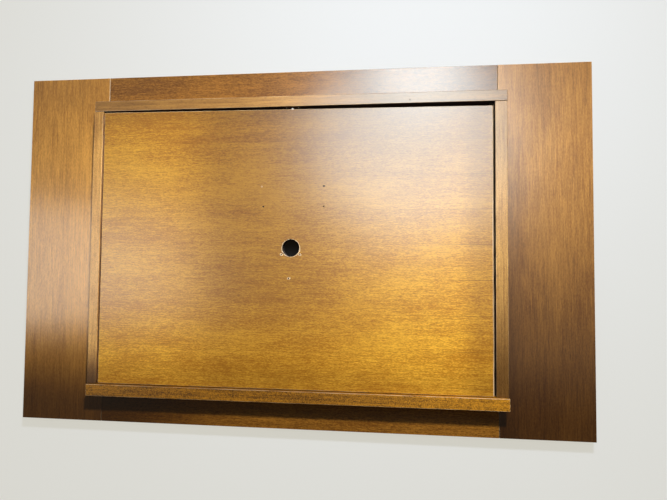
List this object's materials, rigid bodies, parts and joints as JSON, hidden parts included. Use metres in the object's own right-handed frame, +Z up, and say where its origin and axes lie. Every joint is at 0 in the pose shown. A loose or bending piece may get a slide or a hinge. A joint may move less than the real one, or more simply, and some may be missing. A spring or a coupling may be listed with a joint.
{
  "type": "tv wall panel",
  "caption": "Wall-hung wooden television panel: veneered back frame, raised frame with a deeper lower ledge, and a side-hinged inner door with a round cable hole.",
  "frame": {"origin": "middle of the wall cleat's back face, on the wall and on the panel's centre line", "axes": "+X to the right seen from the room, +Y into the wall, +Z up; the front faces -Y"},
  "size_m": [1.95, 0.12, 1.22],
  "materials": {
    "stile_veneer": "golden brown veneer with upright grain, satin gloss varnish",
    "rail_veneer": "golden brown veneer with level grain, satin gloss varnish",
    "batten_wood": "solid timber stained golden brown, satin varnish",
    "door_veneer": "honey brown veneer in level leaves, satin gloss varnish",
    "plywood": "bare plywood",
    "softwood": "planed bare pine",
    "dowel_beech": "bare beech",
    "hinge_bronze": "dark bronzed brass",
    "screw_steel": "zinc plated steel",
    "catch_nickel": "satin nickel plated steel"
  },
  "bodies": {
    "carcass": {"left_stile": "stile_veneer", "right_stile": "stile_veneer", "top_rail": "rail_veneer", "bottom_rail": "rail_veneer", "top_batten": "batten_wood", "left_batten": "batten_wood", "right_batten": "batten_wood", "bottom_ledge": "batten_wood", "door_stop": "batten_wood", "hanging_cleat": "softwood", "wall_cleat": "softwood", "bottom_ground": "softwood", "left_outer_ground": "softwood", "left_inner_ground": "softwood", "right_inner_ground": "softwood", "right_outer_ground": "softwood", "left_noggin": "softwood", "right_noggin": "softwood", "top_left_dowel_inner": "dowel_beech", "top_left_dowel_outer": "dowel_beech", "top_right_dowel_inner": "dowel_beech", "top_right_dowel_outer": "dowel_beech", "bottom_left_dowel_inner": "dowel_beech", "bottom_left_dowel_outer": "dowel_beech", "bottom_right_dowel_inner": "dowel_beech", "bottom_right_dowel_outer": "dowel_beech", "hinge_frame_leaf": "hinge_bronze", "hinge_pin": "hinge_bronze", "hinge_frame_screw_1": "screw_steel", "hinge_frame_screw_2": "screw_steel", "hinge_frame_screw_3": "screw_steel", "hinge_frame_screw_4": "screw_steel", "hinge_frame_screw_5": "screw_steel", "top_batten_screw_1": "screw_steel", "top_batten_screw_2": "screw_steel", "top_batten_screw_3": "screw_steel", "bottom_ledge_screw_1": "screw_steel", "bottom_ledge_screw_2": "screw_steel", "bottom_ledge_screw_3": "screw_steel", "bottom_ledge_screw_4": "screw_steel", "left_batten_screw_1": "screw_steel", "left_batten_screw_2": "screw_steel", "right_batten_screw_1": "screw_steel", "right_batten_screw_2": "screw_steel", "strike_plate": "hinge_bronze", "strike_screw_1": "screw_steel", "strike_screw_2": "screw_steel"},
    "door": {"door_panel": "door_veneer", "bracket_backer": "plywood", "hinge_door_leaf": "hinge_bronze", "catch_barrel": "catch_nickel", "hinge_door_screw_1": "screw_steel", "hinge_door_screw_2": "screw_steel", "hinge_door_screw_3": "screw_steel", "hinge_door_screw_4": "screw_steel", "hinge_door_screw_5": "screw_steel"},
    "catch": {"catch_plunger": "catch_nickel"}
  },
  "joints": [
    {"name": "door_hinge", "type": "hinge", "parent": "carcass", "child": "door", "pos_m": [-0.6616, -0.108, -0.509], "axis": [0, 0, -1], "range_deg": [0, 120]},
    {"name": "catch_press", "type": "slide", "parent": "door", "child": "catch", "axis": [0, 0, -1], "range_m": [0, 0.0025], "stiffness_N_per_m": 150, "springref_m": -0.003}
  ]
}
